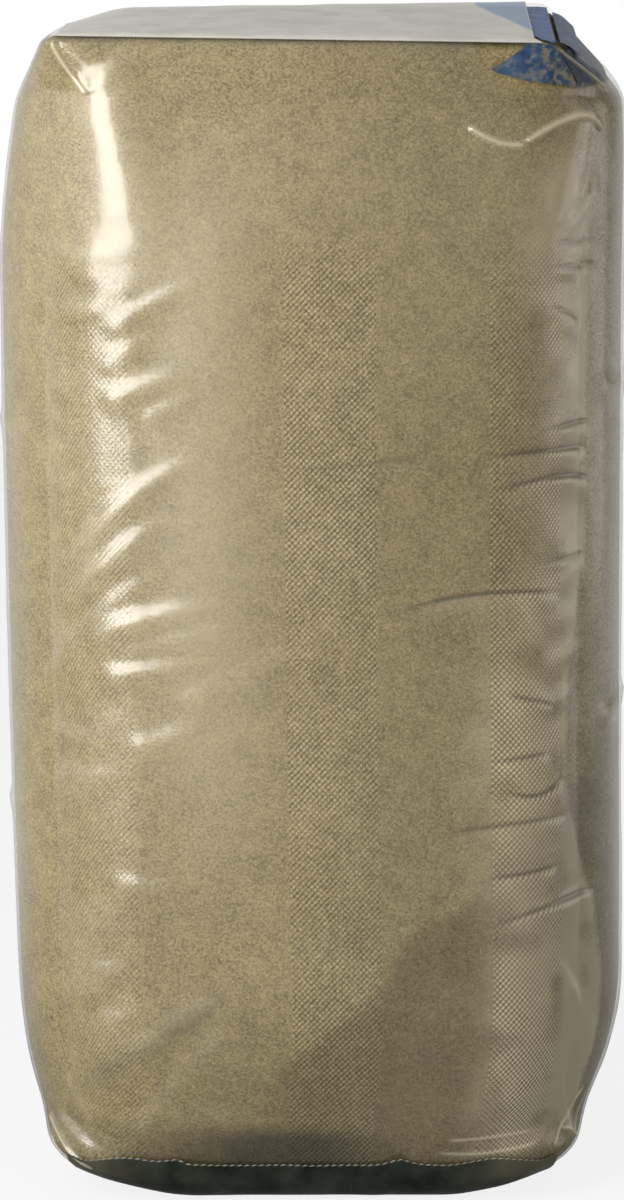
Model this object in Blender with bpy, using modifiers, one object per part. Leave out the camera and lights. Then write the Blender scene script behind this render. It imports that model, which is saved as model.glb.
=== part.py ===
"""Block-bottom valve sack of quartz sand, standing on its base.

A clear film tube is folded into a block at each end and filled tight with sand. A pale patch
covers the top block, a dark patch the bottom block, and a blue valve sleeve comes out of the
top block's right end. Metres, +Z up, front towards -Y, origin in the middle of the base.
"""

import math

import bmesh
import bpy
from mathutils import Vector

# Films and gaps
FILM_WALL = 0.0002  # the clear tube's film
PATCH_FILM = 0.0002  # the cover patches' film
SLEEVE_THICK = 0.0008  # the valve sleeve, pressed flat by the sand
GAP = 0.0003  # between pieces that lie on each other
SAND_SLACK = 0.0012  # between the film's smooth inner form and the sand

# Heights of the sack's stations
BASE_Z = PATCH_FILM + GAP  # underside of the film
SEAM_Z = 0.0165  # where the bottom patch ends on the front and back
HEEL_Z = 0.034  # top of the rounded lower edge
LOW_Z = 0.095  # lower belly
MID_Z = 0.260  # waist
HEAD_Z = 0.5115  # the top block
SHOULDER_DROP = 0.0345  # from it down to where the ends turn in
BELLY_DROP = 0.1045  # and down to the upper belly
SHOULDER_Z = HEAD_Z - SHOULDER_DROP
HIGH_Z = HEAD_Z - BELLY_DROP

# The widest half width and the half depth, without the swell of the sides and faces
HALF_WIDTH = 0.1300
HALF_DEPTH = 0.0630
# How much narrower, to the left and right of the origin, and how much shallower the sack is at
# its stations: base, heel, lower belly, waist, upper belly, shoulder and head
LEFT_DRAWS = (0.0150, 0.0095, 0.0055, 0.0020, 0.0005, 0.0030, 0.0165)
RIGHT_DRAWS = (0.0140, 0.0065, -0.0015, 0.0000, 0.0005, -0.0030, 0.0255)
DEPTH_DRAWS = (0.0100, 0.0020, -0.0040, 0.0000, 0.0030, 0.0070, 0.0100)
LEFTS = tuple(HALF_WIDTH - draw for draw in LEFT_DRAWS)
RIGHTS = tuple(HALF_WIDTH - draw for draw in RIGHT_DRAWS)
DEPTHS = tuple(HALF_DEPTH - draw for draw in DEPTH_DRAWS)
BASE_LEFT, BASE_RIGHT = LEFTS[0], RIGHTS[0]
HEAD_DEEP = DEPTHS[-1]

# Corner radii of the plan, and the roundings of the two blocks' edges
BASE_CORNER, BELLY_CORNER, HEAD_CORNER = 0.020, 0.056, 0.006
CORNER_SHARE = 0.9  # of the half depth, at most
BASE_EDGE = 0.012
HEAD_EDGE = 0.005
FACE_SWELL = 0.0100  # the front and back bulge by this in the middle
SIDE_SWELL = 0.0040  # and so do the sides
SIDE_CREASE = 0.0016  # the flat tube's edge, still a ridge down each side
CREASE_SHARE = 0.35  # of the half depth, which the ridge's foot takes

# The base is flat between its two lifted ends
FOOT_LEFT, FOOT_RIGHT = 0.052, 0.056
END_LIFT = 0.0145
END_BEYOND = 0.010  # the lift is full this far outside the base's own end
LIFT_REACH = 0.070  # the lift dies out at this height

# The top block leans to the front, more at its right end, and its rear left corner hangs
TOP_LEAN = 0.0042  # the front edge lies this much lower, and the rear edge as much higher
TOP_TWIST = 0.015  # and this much more for each metre to the right
TOP_HANG = 0.0085
TOP_HANG_FROM, TOP_HANG_TO = 0.076, 0.120

# The valve: a slit along the top block's right edge, and the sleeve in it
SLIT_REACH = 0.0430  # half its length, along Y
SLIT_TOP = 0.00055  # below the top block's surface
SLIT_HIGH = 0.0046
SLIT_DEEP = 0.030  # the cutter's reach along X
SLEEVE_INNER_X = 0.052  # the sleeve reaches in to here
SLEEVE_BACK_Y = 0.044  # its back edge
SKIRT_X = 0.082  # its front corner hangs down inside the front film, from here
SKIRT_DROP = 0.0215  # as far below the top block as this
SKIRT_Z = HEAD_Z - SKIRT_DROP
SKIRT_FADE = 0.016  # the sand draws in over this height below the hanging corner
SLEEVE_FADE = 0.020  # and over this length before the sleeve's inner end
TONGUE_REACH = 0.0400  # half the width of the end that stands out of the slit
TONGUE_OUT = 0.0080  # how far it stands out
TONGUE_CURL = 0.0012  # how far its end turns up
TONGUE_ROOT = 0.0200  # how far it lies inside the sleeve

# The mesh lines that every sheet of film shares
COLUMNS_X = (0.0, 0.030, 0.058, 0.076, 0.092, 0.108, 0.123)
COLUMNS_Y = (0.0, 0.020, 0.040, 0.052)
CAGE_HALF_X, CAGE_HALF_Y = 0.136, 0.066
ROWS_LOW = (0.0, 0.0035, 0.0085, SEAM_Z, 0.025, HEEL_Z, 0.048, 0.064, 0.082)
ROW_STEP = 0.0145
ROW_DROPS = (0.0515, SHOULDER_DROP, SKIRT_DROP, 0.0110, 0.0040)

# Gathers of slack film: girth from the front's middle line (right is positive), height,
# then the same for the far end, then how proud it stands and half its width
GATHERS = (
    (-0.074, 0.352, -0.040, 0.362, 0.0026, 0.010),
    (-0.112, 0.278, -0.044, 0.328, 0.0030, 0.010),
    (-0.092, 0.250, -0.034, 0.262, 0.0030, 0.010),
    (-0.088, 0.226, -0.030, 0.236, 0.0022, 0.009),
    (-0.084, 0.145, -0.044, 0.135, 0.0026, 0.010),
    (0.050, 0.304, 0.126, 0.322, 0.0028, 0.010),
    (0.052, 0.266, 0.124, 0.270, 0.0030, 0.010),
    (0.064, 0.196, 0.122, 0.198, 0.0024, 0.010),
    (0.056, 0.165, 0.116, 0.172, 0.0026, 0.010),
    (0.068, 0.118, 0.124, 0.132, 0.0030, 0.011),
    (0.070, 0.466, 0.126, 0.470, 0.0022, 0.010),
    (0.148, 0.360, 0.182, 0.352, 0.0022, 0.010),
    (-0.184, 0.330, -0.148, 0.342, 0.0022, 0.010),
    (-0.182, 0.180, -0.150, 0.172, 0.0022, 0.010),
    (0.152, 0.210, 0.184, 0.222, 0.0022, 0.010),
    (0.262, 0.300, 0.330, 0.312, 0.0026, 0.010),
    (0.256, 0.190, 0.320, 0.182, 0.0026, 0.010),
    (-0.330, 0.246, -0.262, 0.236, 0.0026, 0.010),
    (-0.322, 0.130, -0.266, 0.142, 0.0026, 0.010),
)
# The folds that run down from each corner of the top block and up from each of the base
CORNER_FOLDS = (
    (-0.122, 0.513, -0.084, 0.405, 0.0028, 0.010),
    (0.120, 0.490, 0.106, 0.392, 0.0022, 0.009),
    (-0.116, 0.024, -0.094, 0.110, 0.0022, 0.010),
    (0.118, 0.026, 0.104, 0.120, 0.0024, 0.010),
    (0.282, 0.490, 0.300, 0.404, 0.0022, 0.009),
    (-0.282, 0.490, -0.300, 0.404, 0.0022, 0.009),
)

# Colours as linear values
CLEAR_FILM = (0.62, 0.58, 0.47)
SAND = (0.40, 0.34, 0.22)
PALE_FILM = (0.50, 0.49, 0.45)
DARK_FILM = (0.020, 0.025, 0.022)
BLUE_FILM = (0.030, 0.090, 0.220)


def smooth_step(value, low, high):
    """0 below low, 1 above high, and a soft ramp between them."""
    share = min(max((value - low) / (high - low), 0.0), 1.0)
    return share * share * (3.0 - 2.0 * share)


def through_stations(heights, sizes, z):
    """A smooth curve through the stations that never overshoots them, read at height z."""
    if z <= heights[0]:
        return sizes[0]
    if z >= heights[-1]:
        return sizes[-1]
    spans = [b - a for a, b in zip(heights, heights[1:])]
    slopes = [(b - a) / span for a, b, span in zip(sizes, sizes[1:], spans)]
    tangents = [slopes[0]]
    for before, after in zip(slopes, slopes[1:]):
        tangents.append(0.0 if before * after <= 0 else 2 * before * after / (before + after))
    tangents.append(slopes[-1])
    k = next(i for i, top in enumerate(heights[1:]) if z <= top)
    t = (z - heights[k]) / spans[k]
    return (
        sizes[k] * (1 + 2 * t) * (1 - t) ** 2
        + spans[k] * tangents[k] * t * (1 - t) ** 2
        + sizes[k + 1] * t * t * (3 - 2 * t)
        + spans[k] * tangents[k + 1] * t * t * (t - 1)
    )


STATIONS = (BASE_Z, HEEL_Z, LOW_Z, MID_Z, HIGH_Z, SHOULDER_Z, HEAD_Z)
CORNERS = (
    BASE_CORNER, BELLY_CORNER, BELLY_CORNER, BELLY_CORNER, BELLY_CORNER, BELLY_CORNER, HEAD_CORNER,
)


def block_edge(z):
    """How far the rounded edge of the base or the head draws the plan in at height z."""
    if z < BASE_Z + BASE_EDGE:
        radius, off = BASE_EDGE, BASE_Z + BASE_EDGE - z
    elif z > HEAD_Z - HEAD_EDGE:
        radius, off = HEAD_EDGE, z - (HEAD_Z - HEAD_EDGE)
    else:
        return 0.0
    return radius - math.sqrt(max(radius * radius - off * off, 0.0))


def rounded(u, v, half_x, half_y, radius):
    """The place of a point of the unit square in a rectangle with round corners."""
    x, y = u * half_x, v * half_y
    core_x = min(max(x, radius - half_x), half_x - radius)
    core_y = min(max(y, radius - half_y), half_y - radius)
    dx, dy = x - core_x, y - core_y
    length = math.hypot(dx, dy)
    if length < 1e-9:
        return x, y
    reach = max(abs(dx), abs(dy)) / length
    return core_x + dx * reach, core_y + dy * reach


def lean_at(x):
    """How far the top block's rear edge lies above its middle at x."""
    return TOP_LEAN + TOP_TWIST * x


def sack_point(u, v, z):
    """The sack's smooth outer form: u and v from -1 to 1 across the plan, at height z."""
    left = through_stations(STATIONS, LEFTS, z)
    right = through_stations(STATIONS, RIGHTS, z)
    deep = through_stations(STATIONS, DEPTHS, z)
    corner = through_stations(STATIONS, CORNERS, z)
    drawn_in = block_edge(z)
    half_x = (left + right) / 2 - drawn_in
    half_y = deep - drawn_in
    x, y = rounded(u, v, half_x, half_y, min(corner, CORNER_SHARE * half_y))
    x += (right - left) / 2
    belly = smooth_step(z, BASE_Z, LOW_Z) * (1 - smooth_step(z, HIGH_Z, HEAD_Z))
    y += FACE_SWELL * belly * v * (1 - u * u)
    x += SIDE_SWELL * belly * u * (1 - v * v)
    x += SIDE_CREASE * belly * u * max(0.0, 1 - abs(v) / CREASE_SHARE)
    beyond = FOOT_LEFT if x < 0 else FOOT_RIGHT
    end = BASE_LEFT if x < 0 else BASE_RIGHT
    lift = END_LIFT * smooth_step(abs(x), beyond, end + END_BEYOND)
    z += lift * (1 - smooth_step(z, BASE_Z, LIFT_REACH))
    head = smooth_step(z, HIGH_Z, HEAD_Z)
    z += head * lean_at(x) * y / HEAD_DEEP
    z -= head * TOP_HANG * smooth_step(-x, TOP_HANG_FROM, TOP_HANG_TO) * (1 + v) / 2
    return Vector((x, y, z))


def girth_of(x, y):
    """The way round the cage from the front's middle line, right positive."""
    side = 1 if x >= 0 else -1
    if y <= -CAGE_HALF_Y + 1e-6:
        return x
    if abs(x) >= CAGE_HALF_X - 1e-6:
        return side * (CAGE_HALF_X + y + CAGE_HALF_Y)
    return side * (2 * CAGE_HALF_X + 2 * CAGE_HALF_Y - abs(x))


def gathered(girth, z):
    """How far the slack film stands off the smooth form."""
    proud = 0.0
    for g0, z0, g1, z1, height, half_width in GATHERS + CORNER_FOLDS:
        along = Vector((g1 - g0, z1 - z0))
        place = Vector((girth - g0, z - z0))
        share = place.dot(along) / along.length_squared
        if not -0.3 < share < 1.3:
            continue
        off = (place - along * share).length
        ends = smooth_step(share, -0.3, 0.25) * (1 - smooth_step(share, 0.75, 1.3))
        proud = max(proud, height * ends * math.exp(-((off / half_width) ** 2)))
    return proud


def mirrored(lines, half):
    """Cuts at each line and its mirror image, inside the cage."""
    return sorted({s * line for line in lines for s in (-1, 1) if line < half})


def sliced(bm, cuts):
    """Cuts the whole mesh with planes, each a place and a normal."""
    for place, normal in cuts:
        everything = bm.verts[:] + bm.edges[:] + bm.faces[:]
        bmesh.ops.bisect_plane(bm, geom=everything, dist=1e-6, plane_co=place, plane_no=normal)


def cage(columns_x, columns_y, rows):
    """A box of the sack's height, cut along the given lines."""
    bm = bmesh.new()
    bmesh.ops.create_cube(bm, size=1.0)
    top, bottom = rows[-1], rows[0]
    for vert in bm.verts:
        vert.co.x *= 2 * CAGE_HALF_X
        vert.co.y *= 2 * CAGE_HALF_Y
        vert.co.z = top if vert.co.z > 0 else bottom
    cuts = [((x, 0, 0), (1, 0, 0)) for x in columns_x]
    cuts += [((0, y, 0), (0, 1, 0)) for y in columns_y]
    cuts += [((0, 0, z), (0, 0, 1)) for z in rows[1:-1]]
    sliced(bm, cuts)
    return bm


def film_rows():
    """The heights of the film's mesh lines, from the base to the head."""
    rows = [BASE_Z + z if z == 0.0 else z for z in ROWS_LOW]
    high = [HEAD_Z - drop for drop in ROW_DROPS]
    count = max(1, round((high[0] - rows[-1]) / ROW_STEP))
    step = (high[0] - rows[-1]) / count
    rows += [rows[-1] + step * (k + 1) for k in range(count - 1)]
    return rows + high + [HEAD_Z]


def skin(name, keep=None, off=0.0):
    """The sack's outer surface as a mesh, or the part of it whose cage faces keep() accepts.

    The sheet lies off the sack's own surface by the given distance.
    """
    bm = cage(mirrored(COLUMNS_X, CAGE_HALF_X), mirrored(COLUMNS_Y, CAGE_HALF_Y), film_rows())
    layer = bm.verts.layers.float.new("proud")
    for vert in bm.verts:
        on_side = abs(vert.co.x) > CAGE_HALF_X - 1e-6 or abs(vert.co.y) > CAGE_HALF_Y - 1e-6
        vert[layer] = gathered(girth_of(vert.co.x, vert.co.y), vert.co.z) if on_side else 0.0
    dropped = [f for f in bm.faces if keep and not keep(f.calc_center_median(), f.normal)]
    for vert in bm.verts:
        vert.co = sack_point(vert.co.x / CAGE_HALF_X, vert.co.y / CAGE_HALF_Y, vert.co.z)
    bm.normal_update()
    moves = [(vert, vert.normal * (vert[layer] + off)) for vert in bm.verts]
    for vert, move in moves:
        vert.co += move
    bmesh.ops.delete(bm, geom=dropped, context="FACES")
    # The same diagonals on every sheet, so that sheets on each other stay parallel
    bmesh.ops.triangulate(bm, faces=bm.faces[:], quad_method="FIXED")
    return finished(bm, name)


def finished(bm, name):
    """The bmesh as a mesh with its faces shaded smooth."""
    bm.normal_update()
    mesh = bpy.data.meshes.new(name)
    bm.to_mesh(mesh)
    bm.free()
    mesh.shade_smooth()
    return mesh


def node(name, mesh, collection):
    """One named piece of the sack."""
    piece = bpy.data.objects.new(name, mesh)
    collection.objects.link(piece)
    return piece


def thickened(piece, thickness, outwards):
    """Gives a sheet its film's thickness."""
    wall = piece.modifiers.new("film", "SOLIDIFY")
    wall.thickness = thickness
    wall.offset = 1.0 if outwards else -1.0
    wall.use_even_offset = False


def film_material(name, colour, roughness, alpha=1.0):
    """A Principled material for one of the films or the sand."""
    material = bpy.data.materials.new(name)
    material.use_nodes = True
    shader = material.node_tree.nodes["Principled BSDF"]
    shader.inputs["Base Color"].default_value = (*colour, 1.0)
    shader.inputs["Roughness"].default_value = roughness
    shader.inputs["Metallic"].default_value = 0.0
    shader.inputs["Alpha"].default_value = alpha
    return material


def clear_scene():
    for leftover in list(bpy.data.objects):
        bpy.data.objects.remove(leftover)


def new_collection(name):
    made = bpy.data.collections.new(name)
    bpy.context.scene.collection.children.link(made)
    return made


def slit_middle():
    """The middle of the slit: on the top block's right edge, a little under its surface."""
    edge = sack_point(1.0, 0.0, HEAD_Z)
    return Vector((edge.x, 0.0, edge.z - SLIT_TOP - SLIT_HIGH / 2))


def leaning_block(middle, half_x, half_y, half_z, cuts=()):
    """A block that leans to the front as the top block does, cut in its unit form."""
    bm = bmesh.new()
    bmesh.ops.create_cube(bm, size=2.0)
    sliced(bm, cuts)
    for vert in bm.verts:
        vert.co = Vector((vert.co.x * half_x, vert.co.y * half_y, vert.co.z * half_z)) + middle
        vert.co.z += lean_at(middle.x) * vert.co.y / HEAD_DEEP
    return bm


def make_film_sack(parts, cutters):
    """The clear tube with its block ends, open at the valve's slit."""
    sack = node("film_sack", skin("film_sack"), parts)
    sack.data.materials.append(film_material("clear_film", CLEAR_FILM, 0.15, 0.35))
    thickened(sack, FILM_WALL, outwards=False)
    slit = leaning_block(slit_middle(), SLIT_DEEP / 2, SLIT_REACH, SLIT_HIGH / 2)
    cutter = node("valve_slit", finished(slit, "valve_slit"), cutters)
    cutter.hide_render = True
    cutter.display_type = "WIRE"
    cut = sack.modifiers.new("valve slit", "BOOLEAN")
    cut.operation = "DIFFERENCE"
    cut.object = cutter


def make_sand(parts):
    """The fill: one tight body inside the film, drawn in a little more under the sleeve."""
    rows = [z for k, z in enumerate(film_rows()) if k % 2 == 0 or k < 6 or z > SHOULDER_Z - GAP]
    bm = cage(mirrored(COLUMNS_X[1:], CAGE_HALF_X), mirrored(COLUMNS_Y, CAGE_HALF_Y), rows)
    room = bm.verts.layers.float.new("room")
    for vert in bm.verts:
        inwards = smooth_step(vert.co.x, SLEEVE_INNER_X - SLEEVE_FADE, SLEEVE_INNER_X)
        vert[room] = inwards * smooth_step(vert.co.z, SKIRT_Z - SKIRT_FADE, SKIRT_Z)
        vert.co = sack_point(vert.co.x / CAGE_HALF_X, vert.co.y / CAGE_HALF_Y, vert.co.z)
    bm.normal_update()
    slack = FILM_WALL + SAND_SLACK
    moves = [(v, v.normal * -(slack + v[room] * (SLEEVE_THICK + GAP))) for v in bm.verts]
    seat = BASE_Z + FILM_WALL + GAP
    for vert, move in moves:
        flat = vert.co.z < BASE_Z + GAP
        vert.co += move
        if flat:
            vert.co.z = seat
    sand = node("sand_fill", finished(bm, "sand_fill"), parts)
    sand.data.materials.append(film_material("sand", SAND, 0.9))


def make_top_patch(parts):
    """The pale sheet welded over the top block."""

    def on_top(centre, normal):
        return normal.z > 0.5

    patch = node("top_cover_patch", skin("top_cover_patch", on_top, GAP), parts)
    patch.data.materials.append(film_material("pale_film", PALE_FILM, 0.35))
    thickened(patch, PATCH_FILM, outwards=True)


def make_bottom_patch(parts):
    """The dark sheet under the bottom block, turned up over its long edges to the seam."""

    def on_base(centre, normal):
        return normal.z < -0.5 or (abs(normal.y) > 0.5 and centre.z < SEAM_Z)

    patch = node("bottom_cover_patch", skin("bottom_cover_patch", on_base, GAP), parts)
    patch.data.materials.append(film_material("dark_film", DARK_FILM, 0.25))
    thickened(patch, PATCH_FILM, outwards=True)


def make_sleeve(parts, cutters):
    """The blue valve sleeve, pressed flat: under the top, down the front corner and the end."""

    def in_valve(centre, normal):
        if centre.x < SLEEVE_INNER_X or centre.y > SLEEVE_BACK_Y:
            return False
        if normal.z > 0.5:
            return True
        hangs = centre.z > SKIRT_Z
        return hangs and (normal.x > 0.5 or (normal.y < -0.5 and centre.x > SKIRT_X))

    sheet = skin("valve_sleeve", in_valve, -(FILM_WALL + GAP))
    sleeve = node("valve_sleeve", sheet, parts)
    sleeve.data.materials.append(film_material("blue_film", BLUE_FILM, 0.30))
    thickened(sleeve, SLEEVE_THICK, outwards=False)
    reach = (TONGUE_ROOT + TONGUE_OUT) / 2
    middle = slit_middle()
    middle.x += TONGUE_OUT - reach
    middle.z += SLIT_HIGH / 2 - GAP - SLEEVE_THICK / 2
    cuts = [((0, share, 0), (0, 1, 0)) for share in (-0.75, -0.5, -0.25, 0.0, 0.25, 0.5, 0.75)]
    cuts.append(((1 - TONGUE_OUT / 2 / reach, 0, 0), (1, 0, 0)))
    slab = leaning_block(middle, reach, TONGUE_REACH, SLEEVE_THICK / 2, cuts)
    for vert in slab.verts:
        if vert.co.x > middle.x + reach - GAP:
            vert.co.z += TONGUE_CURL * (1 - (vert.co.y / TONGUE_REACH) ** 2)
    tongue = node("sleeve_tongue", finished(slab, "sleeve_tongue"), cutters)
    tongue.hide_render = True
    tongue.display_type = "WIRE"
    joined = sleeve.modifiers.new("tongue", "BOOLEAN")
    joined.operation = "UNION"
    joined.object = tongue


def main():
    clear_scene()
    parts = new_collection("sand_sack")
    cutters = new_collection("cutters")
    make_film_sack(parts, cutters)
    make_sand(parts)
    make_top_patch(parts)
    make_bottom_patch(parts)
    make_sleeve(parts, cutters)


main()
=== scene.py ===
"""Looks of the bag of quartz sand: clear creased film over the sand, two cover patches and the
blue valve sleeve. Metres, +Z up, front towards -Y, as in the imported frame.
"""

import math

import bmesh
import bpy
import numpy as np
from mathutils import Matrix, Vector


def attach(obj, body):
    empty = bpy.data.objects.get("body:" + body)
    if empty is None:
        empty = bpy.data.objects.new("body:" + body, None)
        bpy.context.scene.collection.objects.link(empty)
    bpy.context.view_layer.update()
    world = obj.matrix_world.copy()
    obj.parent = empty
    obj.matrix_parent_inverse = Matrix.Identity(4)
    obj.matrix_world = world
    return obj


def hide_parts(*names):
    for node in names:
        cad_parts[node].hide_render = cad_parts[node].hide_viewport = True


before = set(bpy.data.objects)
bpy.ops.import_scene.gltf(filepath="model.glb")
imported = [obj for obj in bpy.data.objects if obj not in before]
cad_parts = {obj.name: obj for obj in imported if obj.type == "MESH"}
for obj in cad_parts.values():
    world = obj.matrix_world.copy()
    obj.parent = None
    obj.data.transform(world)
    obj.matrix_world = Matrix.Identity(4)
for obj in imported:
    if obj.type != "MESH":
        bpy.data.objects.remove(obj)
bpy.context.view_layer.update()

# The sack's stations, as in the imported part
BASE_Z, HEEL_Z, LOW_Z, MID_Z = 0.0005, 0.034, 0.095, 0.260
HIGH_Z, SHOULDER_Z, HEAD_Z = 0.407, 0.477, 0.5115
STATIONS = (BASE_Z, HEEL_Z, LOW_Z, MID_Z, HIGH_Z, SHOULDER_Z, HEAD_Z)
LEFTS = (0.1150, 0.1205, 0.1245, 0.1280, 0.1295, 0.1270, 0.1135)
RIGHTS = (0.1160, 0.1235, 0.1315, 0.1300, 0.1295, 0.1330, 0.1045)
DEPTHS = (0.0530, 0.0610, 0.0670, 0.0630, 0.0600, 0.0560, 0.0530)
CORNERS = (0.020, 0.056, 0.056, 0.056, 0.056, 0.056, 0.006)
CORNER_SHARE, CREASE_SHARE = 0.9, 0.35
BASE_EDGE, HEAD_EDGE = 0.012, 0.005
FACE_SWELL, SIDE_SWELL, SIDE_CREASE = 0.0100, 0.0040, 0.0016
FOOT_LEFT, FOOT_RIGHT, END_BEYOND = 0.052, 0.056, 0.010
END_LIFT, LIFT_REACH = 0.0145, 0.070
TOP_LEAN, TOP_TWIST = 0.0042, 0.015
TOP_HANG, TOP_HANG_FROM, TOP_HANG_TO = 0.0085, 0.076, 0.120
CAGE_HALF_X, CAGE_HALF_Y = 0.136, 0.066
HALF_GIRTH = 2 * CAGE_HALF_X + 2 * CAGE_HALF_Y
SEAM_Z = 0.0165

# A hair's breadth, for telling what lies on the cage's faces, and no length at all
HAIR, NO_LENGTH = 1e-6, 1e-9
# Millimetres and their tenths, in which the lines on the film are written
MM = 0.001
TENTH = 0.0001
# The lattice of the waves' noise has this many cells each way before it repeats
NOISE_CELLS = 64
# Edges that need finer lines are cut this many times
FINER_CUTS = 2

# Gaps between what lies on each other
SAND_DEEP = 0.0009
PATCH_OFF = 0.0004
SLEEVE_DEEP = 0.0004

# The saw-cut edges of the cover patches
TOP_TOOTH, TOP_TOOTH_DEEP = 0.0018, 0.0004
BASE_TOOTH, BASE_TOOTH_DEEP = 0.0036, 0.0005
TOP_PATCH_RIGHT = 0.1290
TOP_OVERHANG = 0.0012

# The valve: its slit in the film's rounded edge, and the sleeve's sheets
SLIT_FROM, SLIT_TO, SLIT_REACH = 0.0046, 0.0008, 0.0530
SLEEVE_LOW = 0.4900
SLEEVE_BACK = 0.0550
SLEEVE_FRONT = -0.0640
SLEEVE_LEFT_FRONT, SLEEVE_LEFT_BACK = 0.1345, 0.0990

# The knurled grip bands of the film: from one girth to the next in millimetres, and how
# clearly each shows; above BAND_TOP the film is smooth
BANDS = (
    (-404, -388, 0.8),
    (-324, -283, 0.8),
    (-224, -183, 0.7),
    (-126, -84, 0.5),
    (-13, 28, 1.0),
    (76, 116, 0.9),
    (181, 222, 0.7),
    (281, 322, 0.8),
    (379, 404, 0.8),
)
BAND_TOP, BAND_FADE = 0.430, 0.025
# The knurl's pitch, how much of its relief the crossing lines take up, and its mean, which
# keeps a band as light as the film beside it
KNURL_PITCH, KNURL_CROSSED, KNURL_MEAN = 0.0027, 0.6, 0.498
# Worn patches of the bands: the noise's scale, where it is worn and whole, and what is left
WORN_SCALE, WORN_AT, WHOLE_AT, WORN_LEAST = 11.0, 0.34, 0.56, 0.55


def ramp(value, low, high):
    """0 below low, 1 above high, and a soft ramp between them."""
    share = np.clip((value - low) / (high - low), 0.0, 1.0)
    return share * share * (3.0 - 2.0 * share)


def window(value, rise_from, rise_to, fall_from, fall_to):
    """1 between a soft rise and a soft fall, 0 outside them."""
    return ramp(value, rise_from, rise_to) * (1 - ramp(value, fall_from, fall_to))


def hump(off, half, sharpness=2.0):
    """1 where off is nothing, falling away smoothly over half a width to each side."""
    return np.exp(-(abs(off / half) ** sharpness))


def through_stations(sizes, z):
    """A smooth curve through the stations that never overshoots them, read at heights z."""
    heights, sizes = np.array(STATIONS), np.array(sizes)
    spans = np.diff(heights)
    slopes = np.diff(sizes) / spans
    same_way = slopes[:-1] * slopes[1:] > 0
    both = np.where(same_way, slopes[:-1] + slopes[1:], 1.0)
    inner = np.where(same_way, 2 * slopes[:-1] * slopes[1:] / both, 0.0)
    tangents = np.concatenate(([slopes[0]], inner, [slopes[-1]]))
    k = np.clip(np.searchsorted(heights, z) - 1, 0, len(spans) - 1)
    t = np.clip((z - heights[k]) / spans[k], 0.0, 1.0)
    return (
        sizes[k] * (1 + 2 * t) * (1 - t) ** 2
        + spans[k] * tangents[k] * t * (1 - t) ** 2
        + sizes[k + 1] * t * t * (3 - 2 * t)
        + spans[k] * tangents[k + 1] * t * t * (t - 1)
    )


def block_edge(z):
    """How far the rounded edge of the base or the head draws the plan in at heights z."""
    low = np.clip(BASE_Z + BASE_EDGE - z, 0.0, BASE_EDGE)
    high = np.clip(z - (HEAD_Z - HEAD_EDGE), 0.0, HEAD_EDGE)
    return BASE_EDGE - np.sqrt(BASE_EDGE**2 - low**2) + HEAD_EDGE - np.sqrt(HEAD_EDGE**2 - high**2)


def sack_points(u, v, z):
    """The sack's smooth outer form: u and v from -1 to 1 across the plan, at heights z."""
    left, right = through_stations(LEFTS, z), through_stations(RIGHTS, z)
    deep, corner = through_stations(DEPTHS, z), through_stations(CORNERS, z)
    drawn_in = block_edge(z)
    half_x, half_y = (left + right) / 2 - drawn_in, deep - drawn_in
    corner = np.minimum(corner, CORNER_SHARE * half_y)
    x, y = u * half_x, v * half_y
    core_x = np.clip(x, corner - half_x, half_x - corner)
    core_y = np.clip(y, corner - half_y, half_y - corner)
    dx, dy = x - core_x, y - core_y
    length = np.maximum(np.hypot(dx, dy), NO_LENGTH)
    reach = np.maximum(abs(dx), abs(dy)) / length
    x, y = core_x + dx * reach, core_y + dy * reach
    x = x + (right - left) / 2
    belly = ramp(z, BASE_Z, LOW_Z) * (1 - ramp(z, HIGH_Z, HEAD_Z))
    y = y + FACE_SWELL * belly * v * (1 - u * u)
    x = x + SIDE_SWELL * belly * u * (1 - v * v)
    x = x + SIDE_CREASE * belly * u * np.maximum(0.0, 1 - abs(v) / CREASE_SHARE)
    foot = np.where(x < 0, FOOT_LEFT, FOOT_RIGHT)
    end = np.where(x < 0, LEFTS[0], RIGHTS[0]) + END_BEYOND
    z = z + END_LIFT * ramp(abs(x), foot, end) * (1 - ramp(z, BASE_Z, LIFT_REACH))
    head = ramp(z, HIGH_Z, HEAD_Z)
    z = z + head * (TOP_LEAN + TOP_TWIST * x) * y / DEPTHS[-1]
    z = z - head * TOP_HANG * ramp(-x, TOP_HANG_FROM, TOP_HANG_TO) * (1 + v) / 2
    return np.column_stack((x, y, z))


def on_form(cage):
    """The cage's points on the sack's smooth outer form."""
    return sack_points(cage[:, 0] / CAGE_HALF_X, cage[:, 1] / CAGE_HALF_Y, cage[:, 2])


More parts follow.
